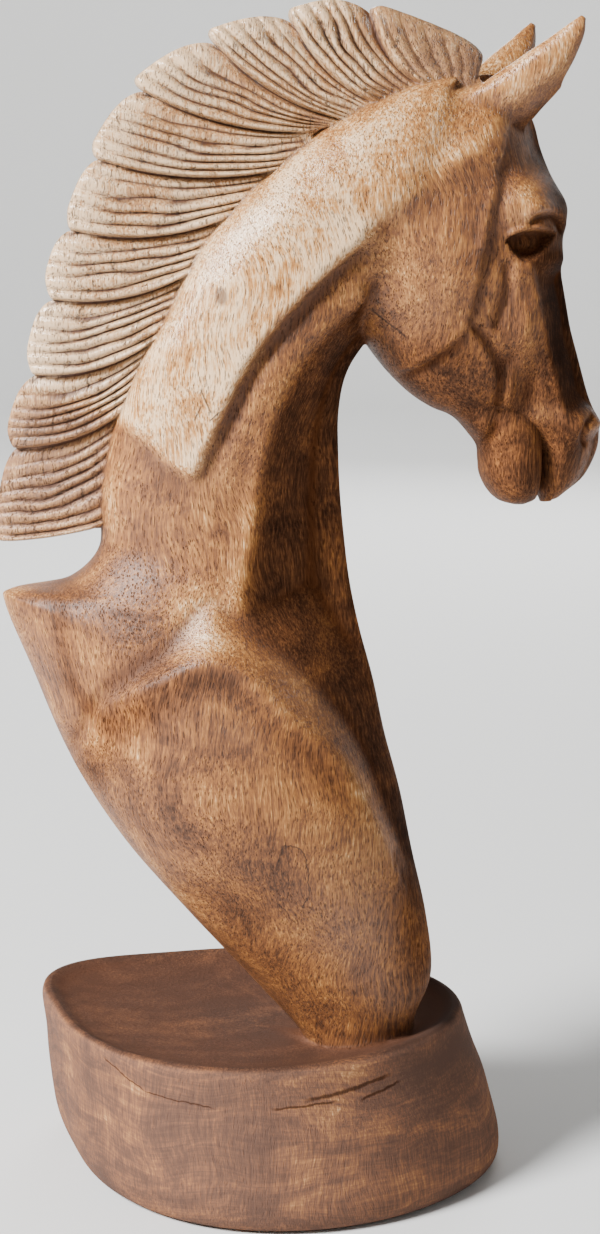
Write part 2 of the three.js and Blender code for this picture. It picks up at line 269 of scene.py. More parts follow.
# %% Lines of the neck and shoulder
# Rows: back x and z, front x and z, half width, fullness at the back and the front, turn.
BODY = [
    [2, 66, 58, 70, 31, 0.5, 0.5, 0],
    [0, 80, 60, 88, 30, 0.5, 0.5, 0],
    [-20, 103, 68, 111, 34, 0.5, 0.5, 0],
    [-60, 148, 65, 142, 43, 0.5, 0.5, 0],
    [-92.5, 187, 57.5, 176, 52, 0.5, 0.5, 0],
    [-117.5, 228, 51, 208, 57, 0.5, 0.5, 0],
    [-136, 272, 43, 238, 56, 0.55, 0.5, 0],
    [-149, 304, 37, 266, 52, 0.65, 0.5, 0],
    [-146, 312, 30, 292, 48, 0.62, 0.46, 0],
    [-118, 317, 25, 316, 45, 0.45, 0.42, 0],
    [-101, 334, 22, 340, 42, 0.4, 0.4, 0],
    [-101, 360, 20, 362, 40, 0.4, 0.38, 1],
    [-96, 386, 19, 384, 38, 0.42, 0.36, 3],
    [-88, 410, 19, 402, 37, 0.42, 0.36, 5],
    [-78, 433, 22, 419, 36, 0.42, 0.36, 7],
    [-66, 456, 29, 432, 35, 0.42, 0.4, 9],
    [-54, 481, 42, 446, 34, 0.42, 0.4, 11],
    [-36, 504, 60, 456, 34, 0.42, 0.38, 13],
    [-14, 525, 82, 468, 34, 0.42, 0.36, 14],
    [11, 544, 102, 486, 33, 0.42, 0.36, 15],
    [38, 558, 112, 510, 29, 0.45, 0.38, 15],
    [62, 566, 114, 532, 23, 0.5, 0.4, 15],
    [84, 566, 106, 554, 13, 0.5, 0.5, 15],
]
PLATE_EDGE = smooth_line([
    [100, 541], [73, 525], [50, 509], [25, 490], [-4, 463], [-29, 431], [-45, 393], [-52, 374],
])
PLATE_END = smooth_line([[-98, 402], [-87, 397], [-76, 389], [-66, 379], [-52, 374]])
THROAT_EDGE = smooth_line([
    [40, 464], [14, 449], [-7, 423], [-18, 388], [-22, 350], [-28, 311], [-22, 298], [0, 277],
    [26, 241], [40, 205], [52, 180], [66, 150], [80, 100], [88, 50],
])
FRONT_FACET = smooth_line([[16, 440], [4, 412], [-2, 370], [0, 328], [8, 288], [18, 257]])
ARCH_EDGE = smooth_line([
    [-113, 228], [-98, 258], [-83, 269], [-62, 281], [-41, 286], [-22, 277], [-4, 258],
    [18, 238], [32, 213], [44, 186],
])
ARCH_FOOT = smooth_line([
    [-117, 230], [-101, 261], [-85, 273], [-66, 287], [-46, 312], [-32, 305], [-16, 293],
    [2, 276], [17, 260], [30, 238], [42, 212], [52, 184],
])

# %% Carving of the neck and shoulder


def body_relief(x, z):
    from_plate = beside(PLATE_EDGE, x, z)
    from_end = beside(PLATE_END, x, z)
    from_throat = beside(THROAT_EDGE, x, z)
    above_edge = np.maximum(beside(ARCH_EDGE, x, z), 0)
    below_foot = np.maximum(-beside(ARCH_FOOT, x, z), 0)
    neck = rise(z, 350, 400)
    plate = 3.8 * rise(-from_plate, -2.0, 1.2) * rise(from_end, -4, 4)
    plate_rim = crease(from_plate + 3, 6, 1.2) * neck
    channel = crease(from_plate - 4.5, 4, -2.2) * neck * rise(z, 365, 410)
    band = crease(from_plate - 14, 6, 1.2) * neck
    throat_rim = crease(from_throat + 1.5, 6, 2.0) * rise(z, 280, 330)
    throat = -0.72 * past(from_throat, 2) * rise(z, 90, 150)
    facet = -0.3 * past(beside(FRONT_FACET, x, z), 3) * rise(z, 270, 330)
    ledge = below_foot / (below_foot + above_edge + 0.01)
    shoulder = 11 * ledge * rise(z, 90, 210) * (0.3 + 0.7 * rise(x, -110, -45))
    arch_rim = crease(beside(ARCH_EDGE, x, z), 6, 1.3) * rise(z, 200, 240) * rise(x, -110, -70)
    arch_rim += crease(beside(ARCH_FOOT, x, z), 3.5, -1.1) * rise(z, 200, 250)
    slow = uneven(x, z, 3, 55, 0.5) + uneven(x, z, 4, 17, 0.15)
    return (plate + plate_rim + channel + band + throat_rim + throat + facet + shoulder
            + arch_rim + slow)


neck = lofted("neck", BODY, 230, 150, body_relief)
print("neck and chest:", len(neck.data.polygons), "faces")

# %% [markdown]
# ## Head
# The head is lofted from the poll down to the lips, with the lower lip as a form of its own that
# overlaps it: where two rounded forms meet, the crease of the mouth appears by itself. The cheek
# is a raised shield with a crisp edge, the brow swells over the eye, and the bridge of the nose is
# a plane that turns away along a sharp line.

# %% Lines of the head
# Rows of the head and the lip: as for the body, but the turn is the same for all.
HEAD = [
    [60, 562, 96, 567, 9, 0.5, 0.5],
    [44, 556, 107, 557, 21, 0.45, 0.45],
    [26, 546, 117, 545, 27, 0.42, 0.4],
    [12, 528, 121.5, 530, 31, 0.42, 0.36],
    [6, 506, 127, 515, 34, 0.4, 0.32],
    [9, 484, 132.5, 503, 36, 0.4, 0.3],
    [15, 467, 131.5, 495, 37, 0.42, 0.3],
    [22, 452.5, 130.5, 486, 37, 0.44, 0.32],
    [29, 441, 131.5, 477, 36, 0.46, 0.33],
    [37.5, 429, 134, 467, 34, 0.46, 0.34],
    [48, 417, 136.5, 455, 31, 0.46, 0.34],
    [60, 407, 139.5, 441, 27, 0.46, 0.34],
    [74, 400, 144, 426, 24, 0.46, 0.34],
    [90, 398, 148.5, 411, 22, 0.44, 0.34],
    [105, 394, 152, 401, 22, 0.4, 0.34],
    [116, 388, 155, 393, 22, 0.36, 0.36],
    [121.5, 380, 156, 384, 21, 0.34, 0.38],
    [123, 371, 153.5, 375, 19, 0.36, 0.42],
    [123.5, 361, 147.5, 365, 15, 0.4, 0.45],
    [125.5, 353.5, 137, 357, 8, 0.5, 0.5],
]
LOWER_LIP = [
    [62, 414, 104, 428, 12, 0.45, 0.5],
    [74, 402, 112, 412, 17, 0.42, 0.4],
    [85, 392, 118, 399, 20, 0.4, 0.34],
    [91.5, 383, 121.5, 389, 21, 0.4, 0.32],
    [93, 375, 122.5, 379, 21, 0.4, 0.32],
    [94, 368, 122.5, 370, 20.5, 0.4, 0.32],
    [98, 360, 122, 361.5, 18, 0.4, 0.34],
    [103, 355, 121, 356, 13, 0.42, 0.38],
    [109, 353, 117, 353.5, 7, 0.5, 0.5],
]
CHEEK_EDGE = smooth_line([
    [22, 470], [21, 455], [23, 438], [31, 426], [40, 420], [49, 423], [60, 431], [71, 441],
    [76, 456], [79, 474], [81, 491], [83, 501], [86, 510], [91, 524],
])
CHEEK_CREST = smooth_line([[80, 484], [82, 494], [84, 503], [87, 512], [91, 524]])
TEMPLE = smooth_line([[98, 534], [92, 521], [88, 507], [86, 492], [86, 478]])
FOREHEAD_EDGE = smooth_line([[92, 548], [96, 534], [103, 520], [116, 510]])
NOSE_EDGE = smooth_line([
    [106, 474], [110, 461], [115, 446], [119, 435], [124, 422], [128, 409], [131, 396],
])
PAD_EDGE = smooth_line([
    [79, 441], [87, 431], [92, 420], [92.5, 408], [92, 396], [89, 384], [86, 374],
])
CHEEK_GROOVE = smooth_line([[93, 474], [93, 461], [89, 446]])
LIP_FACET = smooth_line([[130, 396], [130, 378], [129, 360]])
BIT_RIDGE = smooth_line([[99, 424], [99, 407], [97, 394]])
MOUTH_CURL = smooth_line([[122, 379], [117.5, 389], [112, 394], [107, 393], [107.5, 389]])
NOSTRIL = smooth_line([[146, 397], [142, 395], [140, 389], [143, 384]])

# %% Carving of the head


def pad_relief(x, z):
    """The raised pad behind the mouth, which runs on over the lower lip."""
    from_pad = beside(PAD_EDGE, x, z)
    return (1.6 * rise(-from_pad, -1.2, 1.4) + crease(from_pad - 3, 2.8, -2.0)) * rise(z, 368, 376)


def head_relief(x, z):
    from_cheek = beside(CHEEK_EDGE, x, z)
    from_nose = beside(NOSE_EDGE, x, z)
    high = rise(z, 470, 515)
    above = -beside(PLATE_EDGE, x, z) - 4
    front = rise(x, 62, 78)
    cheek_height = 3.8 - 1.6 * high - 1.0 * front * (1 - high)
    total = cheek_height * rise(from_cheek, -1.2, 1.4 + 1.5 * high)
    total += crease(from_cheek + 2.5, 2.5, -1.4) * (1 - high) * (1 - 0.6 * front)
    total += crease(from_cheek - 2, 2.5, 0.7) * (1 - front)
    total += crease(beside(CHEEK_CREST, x, z), 2.4, 2.4) * rise(-z, -524, -510)
    total += crease(beside(TEMPLE, x, z), 5, -0.8)
    total += (crease(above, 7, 1.2) - 0.2 * past(above, 2)) * rise(x, 10, 40) * rise(-x, -95, -75)
    total += swelling(x, z, (106, 505), (15, 11), 7.0)
    total -= 0.5 * past(beside(FOREHEAD_EDGE, x, z), 2.5) * rise(z, 506, 520)
    total += pad_relief(x, z) * rise(from_cheek, 2, -1)
    total += crease(beside(CHEEK_GROOVE, x, z), 3.0, -2.6)
    total += swelling(x, z, (105, 445), (7, 15), 3.8) + swelling(x, z, (99, 470), (5, 8), 1.8)
    total += swelling(x, z, (110, 413), (6, 12), -3.4) + swelling(x, z, (97, 427), (5, 6), -2.8)
    total += crease(beside(BIT_RIDGE, x, z), 2.4, 1.5)
    total += crease(from_nose + 1, 3.2, 1.7) * rise(z, 390, 405)
    total -= 0.8 * past(from_nose, 1.6) * rise(-z, -478, -464) * rise(z, 392, 412)
    total -= 0.5 * past(beside(LIP_FACET, x, z), 1.5) * rise(-z, -396, -384)
    total += swelling(x, z, (140, 392), (9, 9), 2.6)
    total += crease(beside(NOSTRIL, x, z), 1.8, -3.6)
    total += crease(beside(MOUTH_CURL, x, z), 1.6, -3.2)
    return total + eye_relief(x, z) + uneven(x, z, 5, 26, 0.25)


# %% [markdown]
# ### The eye
# The eye is cut as a hollow under an overhanging upper lid. An almond is the space between two
# arcs, so the depth inside it is worked out from the nearer of the two, and a ball rises again
# out of the hollow.

# %% Eye
EYE_CORNERS = (92, 121)
EYE_LEVEL = 487.0
UPPER_LID = 3.2
LOWER_LID = 12
FOLD_CENTRE = (113, 490)


def eye_relief(x, z):
    """Hollow, ball, upper lid and the comma-shaped fold over it, with the brow's arc above."""
    start, end = EYE_CORNERS
    share = np.clip((x - start) / (end - start), 0, 1)
    arc = np.sin(np.pi * share**0.85)
    level = EYE_LEVEL + 2.5 * share
    top = level + UPPER_LID * arc
    bottom = level - LOWER_LID * arc
    inside = np.minimum(top - z, z - bottom)
    within = np.where((x > start) & (x < end), inside, -10)
    hollow = -9 * rise(within, -0.5, 1.3) * rise(z - bottom, -1, 5)
    ball = swelling(x, z, (107, 484.5), (7, 4.2), 3.6) * rise(within, 0.3, 1.8)
    lid = crease(z - top - 1.6, 1.7, 2.6) * rise(arc, 0, 0.4)
    from_fold = np.hypot((x - FOLD_CENTRE[0]) * 0.8, z - FOLD_CENTRE[1])
    fold = crease(from_fold - 8.5, 1.5, -4.0) * rise(x, 101, 108) * rise(z, 487, 493)
    brow = crease(from_fold - 12.5, 3.0, 2.0) * rise(x, 98, 106) * rise(z, 487, 494)
    return hollow + ball + lid + fold + brow


def with_turn(rows):
    return [row + [HEAD_TURN] for row in rows]


head = lofted("head", with_turn(HEAD), 172, 190, head_relief)
lower_lip = lofted("lower_lip", with_turn(LOWER_LIP), 60, 90,
                   lambda x, z: pad_relief(x, z) + uneven(x, z, 5, 26, 0.25))
print("head:", len(head.data.polygons), "faces, lower lip:", len(lower_lip.data.polygons))

# %% [markdown]
# ## Mane
# Ten locks stand out from the crest like overlapping leaves. Each is proud at its lower border and
# sinks under the next one, and gouge cuts run along it from root to tip.

# %% Locks of the mane
# Rows, one at each border of a lock: root x and z, tip x and z, sag, turn.
MANE = [
    [-92, 347, -149.5, 336, 2, 0],
    [-70, 419, -141, 384, 9, 3],
    [-59, 450, -131, 421, 9, 6],
    [-44, 478, -122, 458, 8, 8],
    [-27, 502, -113, 491.5, 8, 10],
    [-5, 522, -100, 525, 7, 12],
    [4, 538, -78, 557, 6, 13],
    [20, 543, -43, 579, 6, 14],
    [38, 549, -5, 589, 6, 15],
    [60, 558, 34, 594, 6, 15],
    [84, 560, 91, 573, 0, 15],
]
LOCK_TIPS = [6, 9, 8, 7, 5, 6.5, 9, 10, 9.5, 8]
STRANDS_PER_LOCK = [8, 6, 6, 5, 5, 6, 5, 6, 6, 7]
STRAND_DEPTH = 3.2
LOCK_STEP = 5.5
MANE_ROOT_HALF = 15
MANE_EDGE_HALF = 3


def mane_skin(columns, rows):
    """The mane's locks without strands, and for every point how the strands will cut it."""
    locks = len(MANE) - 1
    u = np.linspace(0, 1, locks * columns + 1)
    lock = np.minimum((u * locks + 1e-9).astype(int), locks - 1)
    across = np.clip(u * locks - lock, 0, 1)[:, None]
    rx, rz, nx, nz, bend, turn = (along(MANE, u)[:, k:k + 1] for k in range(6))
    length = np.hypot(nx - rx, nz - rz)
    dx, dz = (nx - rx) / length, (nz - rz) / length
    level = (lock / (locks - 1))[:, None]
    crown = 0.5 - 0.3 * rise(level, 0.3, 0.7)
    swell = np.sin(np.pi / 2 * np.minimum(across / crown, 1)) ** 0.8
    fall = np.maximum(1 - across ** (8 - 3.5 * level), 0) ** 0.6
    tip = np.array(LOCK_TIPS)[lock][:, None] * swell * fall
    r = np.linspace(0, 1, rows + 1)[None, :]
    r = 1 - (1 - r) ** 1.15
    reach = length + tip
    sag = bend * 4 * r * (1 - r)
    x = rx + dx * reach * r - dz * sag
    z = rz + dz * reach * r + dx * sag
    pillow = LOCK_STEP * rise(across, 0, 0.06) * (1 - across) ** 1.2
    groove = -1.6 * rise(across, 0.86, 1)
    thick = MANE_ROOT_HALF + (MANE_EDGE_HALF - MANE_ROOT_HALF) * r**0.8
    rolled = -2.0 * rise(r, 0.9, 1)
    half = np.maximum(thick + (pillow + groove) * rise(r, 0, 0.25) * (1 - 0.45 * r) + rolled, 1.0)
    near = turned(x, -half, z, turn)
    far = turned(x, half, z, turn)
    depth = rise(r, 0, 0.22) * (1 - 0.55 * r**3) * np.where(lock == locks - 1, 0.3, 1)[:, None]
    depth = depth * (0.45 + 0.55 * rise(across, 1, 0.55))
    still = 0 * half
    sideways = turned(still, still - 1, still, turn) - turned(still, still, still, turn)
    fields = {
        "across": across + still,
        "lock": lock[:, None] + still,
        "strand": across * np.array(STRANDS_PER_LOCK)[lock][:, None] + still,
        "length": r + still,
        "depth": depth + still,
    }
    both = {k: np.concatenate([v, v[:, ::-1]], axis=1).ravel() for k, v in fields.items()}
    lift = np.concatenate([sideways, -sideways[:, ::-1]], axis=1).reshape(-1, 3)
    return np.concatenate([near, far[:, ::-1]], axis=1), both, lift


mane_points, mane_fields, mane_lift = mane_skin(62, 19)
mane = skin("mane", mane_points)
for field, values in mane_fields.items():
    layer = mane.data.attributes.new(field, "FLOAT", "POINT")
    layer.data.foreach_set("value", np.append(values, [0, 0]).astype(np.float32))
layer = mane.data.attributes.new("lift", "FLOAT_VECTOR", "POINT")
layer.data.foreach_set("vector", np.append(mane_lift, np.zeros(6)).astype(np.float32))
print("mane:", len(mane.data.polygons), "faces")

# %% [markdown]
# ### Strands
# The strands of every lock are the same cut, repeated: a rounded ridge with a narrow valley on
# either side. That is a rule, so it is built as a tree of geometry nodes. It moves each point
# sideways by its place across the lock, and lets the cuts wander a little as they run to the tip.

# %% Strand cutter
wood = bpy.data.materials.new("oiled_hardwood")
STRAND_INPUTS = {
    "Strand depth": ("NodeSocketFloat", STRAND_DEPTH * MM),
    "Roundness": ("NodeSocketFloat", 0.8),
    "Wander": ("NodeSocketFloat", 2.4),
    "Seed": ("NodeSocketInt", 3),
    "Wood": ("NodeSocketMaterial", wood),
}


def strand_tree():
    """Nodes that push every point of the mane in or out by its place across the lock."""
    tree = bpy.data.node_groups.new("strand_cutter", "GeometryNodeTree")
    face = tree.interface
    face.new_socket("Geometry", in_out="OUTPUT", socket_type="NodeSocketGeometry")
    face.new_socket("Geometry", in_out="INPUT", socket_type="NodeSocketGeometry")
    for title, (kind, value) in STRAND_INPUTS.items():
        face.new_socket(title, in_out="INPUT", socket_type=kind).default_value = value
    nodes, links = tree.nodes, tree.links
    given = nodes.new("NodeGroupInput")
    result = nodes.new("NodeGroupOutput")

    def field(name, kind="FLOAT"):
        named = nodes.new("GeometryNodeInputNamedAttribute")
        named.data_type = kind
        named.inputs["Name"].default_value = name
        return named.outputs["Attribute"]

    def maths(operation, *values):
        step = nodes.new("ShaderNodeMath")
        step.operation = operation
        for slot, value in zip(step.inputs, values):
            if hasattr(value, "is_output"):
                links.new(value, slot)
            else:
                slot.default_value = value
        return step.outputs[0]

    place = nodes.new("ShaderNodeCombineXYZ")
    for name, stretch, axis in (("length", 2.2, "X"), ("across", 1.6, "Y"), ("lock", 3.7, "Z")):
        links.new(maths("MULTIPLY", field(name), stretch), place.inputs[axis])
    noise = nodes.new("ShaderNodeTexNoise")
    noise.noise_dimensions = "4D"
    noise.inputs["Scale"].default_value = 1
    noise.inputs["Detail"].default_value = 1
    links.new(place.outputs[0], noise.inputs["Vector"])
    links.new(given.outputs["Seed"], noise.inputs["W"])
    drift = maths("MULTIPLY", maths("SUBTRACT", noise.outputs[0], 0.5), given.outputs["Wander"])
    drift = maths("MULTIPLY", drift, maths("SINE", maths("MULTIPLY", field("across"), math.pi)))
    strand = maths("ADD", field("strand"), drift)
    wave = maths("ABSOLUTE", maths("SINE", maths("MULTIPLY", strand, math.pi)))
    ridge = maths("SUBTRACT", maths("POWER", wave, given.outputs["Roundness"]), 0.7)
    share = maths("MULTIPLY", ridge, field("depth"))
    amount = maths("MULTIPLY", share, given.outputs["Strand depth"])
    push = nodes.new("ShaderNodeVectorMath")
    push.operation = "SCALE"
    links.new(field("lift", "FLOAT_VECTOR"), push.inputs[0])
    links.new(amount, push.inputs["Scale"])
    move = nodes.new("GeometryNodeSetPosition")
    links.new(given.outputs["Geometry"], move.inputs["Geometry"])
    links.new(push.outputs[0], move.inputs["Offset"])
    real = nodes.new("GeometryNodeRealizeInstances")
    paint = nodes.new("GeometryNodeSetMaterial")
    links.new(move.outputs[0], real.inputs[0])
    links.new(real.outputs[0], paint.inputs["Geometry"])
    links.new(given.outputs["Wood"], paint.inputs["Material"])
    links.new(paint.outputs[0], result.inputs[0])
    return tree


def cut_strands(piece):
    """Runs the strand cutter on a piece and keeps the mesh that comes out."""
    cut = piece.modifiers.new("strands", "NODES")
    cut.node_group = strand_tree()
    for socket in cut.node_group.interface.items_tree:
        if socket.in_out == "INPUT" and socket.name in STRAND_INPUTS:
            cut[socket.identifier] = STRAND_INPUTS[socket.name][1]
    apply_modifiers(piece)


cut_strands(mane)
print("strands:", sum(STRANDS_PER_LOCK), "on each side")

# %% [markdown]
# ## Ears
# An ear is a leaf, lofted from its root to its tip. A smaller leaf, moved forward, is cut out of
# it and leaves the hollow with its rim.

# %% Ears
# Rows from root to tip: back x and z, front x and z, distance from the middle, half thickness.
EAR = [
    [60, 552, 107, 537, 13, 8],
    [81, 560, 114, 548, 19, 9.5],
    [95, 569, 121, 557, 24, 8.5],
    [106, 577, 127, 566, 28, 7.5],
    [116, 584, 130.5, 576, 31, 5.5],
    [124, 590, 132, 585, 34, 3.5],
    [129, 593.5, 131.5, 592, 35, 1.2],
]


def ear(name, side, start=0.0, end=1.0, forward=0.0, thin=1.0, rings=48):
    """The leaf of an ear, or with forward and thin the smaller leaf that hollows it."""
    u = np.linspace(start, end, rings + 1)
    bx, bz, fx, fz, out, half = (along(EAR, u)[:, k:k + 1] for k in range(6))
    angle = np.linspace(0, math.tau, 36, endpoint=False)[None, :]
    t = (1 - np.cos(angle)) / 2
    full = np.sign(np.sin(angle)) * np.abs(np.sin(angle)) ** np.where(t > 0.5, 0.45, 0.9)
    y = out + half * thin * full * (1 - 0.7 * rise(t, 0.6, 1))
    if forward:
        t = t + forward + (1.1 - forward) * (1 - rise(u, start, start + 0.25))[:, None]
    return skin(name, turned(bx + (fx - bx) * t, side * y, bz + (fz - bz) * t, HEAD_TURN))


def hollowed(name, side):
    whole = ear(name, side)
    cutter = ear(name + "_cutter", side, 0.3, 0.97, 0.55, 0.42, 30)
    return combined(whole, cutter, "DIFFERENCE")


# %% [markdown]
# ## Base
# The base is a rough round of the trunk with one blunt corner. It leans forward as it goes down,
# and its top is hollowed out to a rim, as the carver freed the foot from the block.

# %% Base
BASE_HEIGHT = 85
BASE_RADIUS = 102
BASE_CENTRE = (-27, 23)
BASE_LEAN = 16.5
DISH_DEPTH = 9
# Rows up the side and in over the top: height, share of the radius, share of the lean.
BASE = [
    [0, 0.97, 1], [1, 0.985, 0.99], [3, 1.02, 0.97], [8, 1.042, 0.92], [18, 1.053, 0.8],
    [33, 1.046, 0.62], [48, 1.034, 0.45], [63, 1.012, 0.25], [77, 1, 0.06], [81.5, 0.993, 0.03],
    [84, 0.98, 0.01], [BASE_HEIGHT, 0.955, 0], [BASE_HEIGHT - 1, 0.93, 0],
    [BASE_HEIGHT - 4, 0.86, 0], [BASE_HEIGHT - 7, 0.7, 0], [BASE_HEIGHT - DISH_DEPTH, 0.4, 0],
    [BASE_HEIGHT - DISH_DEPTH, 0.02, 0],
]


def base_radius(angle):
    """A circle with a blunt corner behind, a fuller front and a slight flat."""
    def near(middle, spread):
        away = np.abs(((angle - math.radians(middle)) / np.pi + 3) % 2 - 1) * 180
        return np.exp(-((away / spread) ** 2))

    return BASE_RADIUS + 25 * near(149, 23) + 12 * near(10, 40) - 3 * near(214, 28)


def base_rings():
    angle = np.linspace(0, math.tau, 144, endpoint=False)[None, :]
    rows = along(BASE, np.linspace(0, 1, 65))
    z, share, lean = (rows[:, k:k + 1] for k in range(3))
    z = np.maximum(z, 0)
    radius = base_radius(angle) * share
    x = BASE_CENTRE[0] + BASE_LEAN * lean + radius * np.cos(angle)
    y = BASE_CENTRE[1] + radius * np.sin(angle)
    return np.stack([x, y, z + 0 * x], axis=-1)


base = skin("base", base_rings())
print("base:", len(base.data.polygons), "faces")

# %% [markdown]
# ## One piece of wood
# The forms are joined with Blender's manifold solver, which keeps every form's own faces and
# leaves one closed skin without anything inside. Each face is marked with its form first, so that
# the seams can be found again.

# %% Join the forms
FORMS = ["neck", "head", "lower_lip", "mane", "ear", "base"]


def marked(piece, form):
    layer = piece.data.attributes.new("form", "INT", "FACE")
    layer.data.foreach_set("value", np.full(len(piece.data.polygons), FORMS.index(form)))
    return piece


ears = [hollowed("ear_near", -1), hollowed("ear_far", 1)]
parts = [
    marked(neck, "neck"), marked(head, "head"), marked(lower_lip, "lower_lip"),
    marked(mane, "mane"), marked(ears[0], "ear"), marked(ears[1], "ear"), marked(base, "base"),
]
bust = parts[0]
for part in parts[1:]:
    bust = combined(bust, part, "UNION")
bust.name = bust.data.name = "carved_bust"
print("joined:", len(bust.data.vertices), "points", len(bust.data.polygons), "faces")

# %% [markdown]
# ### Softening the seams
# Where two forms meet the carver left a rounded hollow, wide under the ear and at the foot, and
# narrow at the mouth. The points near a seam are moved towards the middle of their neighbours.

# %% Neighbours and seams


def points_of(piece):
    flat = np.empty(len(piece.data.vertices) * 3)
    piece.data.vertices.foreach_get("co", flat)
    return flat.reshape(-1, 3)


class Web:
    """The edges of a mesh, for taking means over the neighbours of every point."""

    def __init__(self, mesh):
        pairs = np.empty(len(mesh.edges) * 2, dtype=np.int64)
        mesh.edges.foreach_get("vertices", pairs)
        self.a, self.b = pairs.reshape(-1, 2).T
        self.count = len(mesh.vertices)
        self.number = np.maximum(self.total(np.ones(self.count)), 1)

    def total(self, values):
        return (np.bincount(self.a, values[self.b], self.count)
                + np.bincount(self.b, values[self.a], self.count))

    def mean(self, values):
        if values.ndim == 1:
            return self.total(values) / self.number
        return np.stack([self.mean(values[:, k]) for k in range(values.shape[1])], axis=1)

    def steps_from(self, start, most):
        """How many edges away every point is from the points marked in start."""
        steps = np.where(start, 0, most)
        for k in range(1, most):
            reached = self.total((steps < k).astype(float)) > 0
            steps = np.where(reached & (steps == most), k, steps)
        return steps


web = Web(bust.data)
loops = np.empty(len(bust.data.loops), dtype=np.int64)
bust.data.loops.foreach_get("vertex_index", loops)
sizes = np.empty(len(bust.data.polygons), dtype=np.int64)
bust.data.polygons.foreach_get("loop_total", sizes)
form_of_face = np.empty(len(bust.data.polygons), dtype=np.int32)
bust.data.attributes["form"].data.foreach_get("value", form_of_face)
form_of_corner = np.repeat(form_of_face, sizes)
touches = np.zeros((len(bust.data.vertices), len(FORMS)), dtype=bool)
touches[loops, form_of_corner] = True


SMOOTHING = 0.7


def touching(form):
    """The points that belong to a form; a seam's points belong to both of its forms."""
    return touches[:, FORMS.index(form)]


def soften(first, second, reach, rounds, where=None):
    """Rounds the seam of two forms, over reach edges to either side."""
    pair = touching(first) & touching(second)
    points = points_of(bust)
    if where is not None:
        pair &= where(points / MM)
    steps = web.steps_from(pair, reach + 1)
    share = SMOOTHING * (1 - steps / (reach + 1))[:, None]
    for _ in range(rounds):
        points += share * (web.mean(points) - points)
    bust.data.vertices.foreach_set("co", points.ravel())
    bust.data.update()
    return int(pair.sum())


print("neck to head", soften("neck", "head", 6, 40, lambda p: p[:, 2] > 470))
print("neck to jaw", soften("neck", "head", 2, 8, lambda p: p[:, 2] <= 470))
print("mane to neck", soften("neck", "mane", 1, 2), soften("head", "mane", 2, 6))
print("ears", soften("head", "ear", 4, 14), soften("neck", "ear", 4, 14),
      soften("mane", "ear", 3, 16))
print("lip", soften("head", "lower_lip", 5, 30, lambda p: p[:, 0] < 96))
print("mouth", soften("head", "lower_lip", 1, 2), "foot", soften("neck", "base", 3, 10))

# %% [markdown]
# ## Into the shared frame
# The numbers so far were read from the photo, with x = 0 under the middle of the picture. The
# shared frame has its origin in the middle of the object's footprint. One shift, and a scale very
# near to 1 that makes the bust just as high as the solid, bring it there.

# %% Set the bust in the frame
PLACE = (0.56, -23.3, 0)
points = points_of(bust)
low, high = points.min(axis=0), points.max(axis=0)
print("before placing:", np.round(low / MM, 2), np.round(high / MM, 2), "mm")
size = (cad_high.z - cad_low.z) / (high[2] - low[2])
points = points * size + np.array(PLACE) * MM
bust.data.vertices.foreach_set("co", points.ravel())
bust.data.update()
for polygon in bust.data.polygons:
    polygon.use_smooth = True
print("triangles:", sum(len(p.vertices) - 2 for p in bust.data.polygons))

# %% [markdown]
# ## Where the wood lies in a hollow or on an edge
# Hollows are made darker and edges paler.
# Both follow from the shape: a point lies in a hollow when the middle of its neighbours is
# further out than the point itself. A few rounds of such means find fine grooves, and many
# rounds find the broad hollows.

# %% Hollows and edges


def normals_of(piece):
    flat = np.empty(len(piece.data.vertices) * 3)
    piece.data.vertex_normals.foreach_get("vector", flat)
    return flat.reshape(-1, 3)


def depth_below(rounds):
    """How many millimetres a point lies inside the mean of its neighbours."""
    around = points.copy()
    for _ in range(rounds):
        around = web.mean(around)
    return np.einsum("ij,ij->i", around - points, normals_of(bust)) / MM


points = points_of(bust)
fine = depth_below(4)
broad = depth_below(40)
hollow = np.clip(fine / 0.5, 0, 1) * 0.6 + np.clip(broad / 3.0, 0, 1) * 0.35
edge = np.clip(-fine / 0.40, 0, 1) * 0.7 + np.clip(-broad / 3.0, 0, 1) * 0.3
on_mane = touching("mane") & ~touching("neck")
hollow = np.where(on_mane, np.clip(depth_below(3) / 0.22, 0, 1) + hollow * 0.5, hollow)
print("share of points in hollows:", round(float((hollow > 0.5).mean()), 3))
print("share of points on edges:", round(float((edge > 0.5).mean()), 3))

# %% [markdown]
# ### The log's colours, with painted light and shade
# A trunk is pale outside and dark at its heart. This one lay so that its pale wood came to the
# neck and the withers. The tone of every point, pale above nothing and dark below, is painted as
# soft spots in the side view and as bands along the carved lines. Besides the wood's colours it
# holds painted shade on the planes that turn away from the lamp, and painted highlights where the
# glare falls. It is kept on the mesh, which alone knows where those lines run.

# %% Colours of the log, with painted light and shade
side_x = points[:, 0] / MM - PLACE[0]
side_y = points[:, 1] / MM - PLACE[1]
side_z = points[:, 2] / MM
head_turn = np.radians(HEAD_TURN) * rise(side_z, 340, 500)
side_x = TURN_AXIS_X + (side_x - TURN_AXIS_X) * np.cos(head_turn) + side_y * np.sin(head_turn)
normals = normals_of(bust)
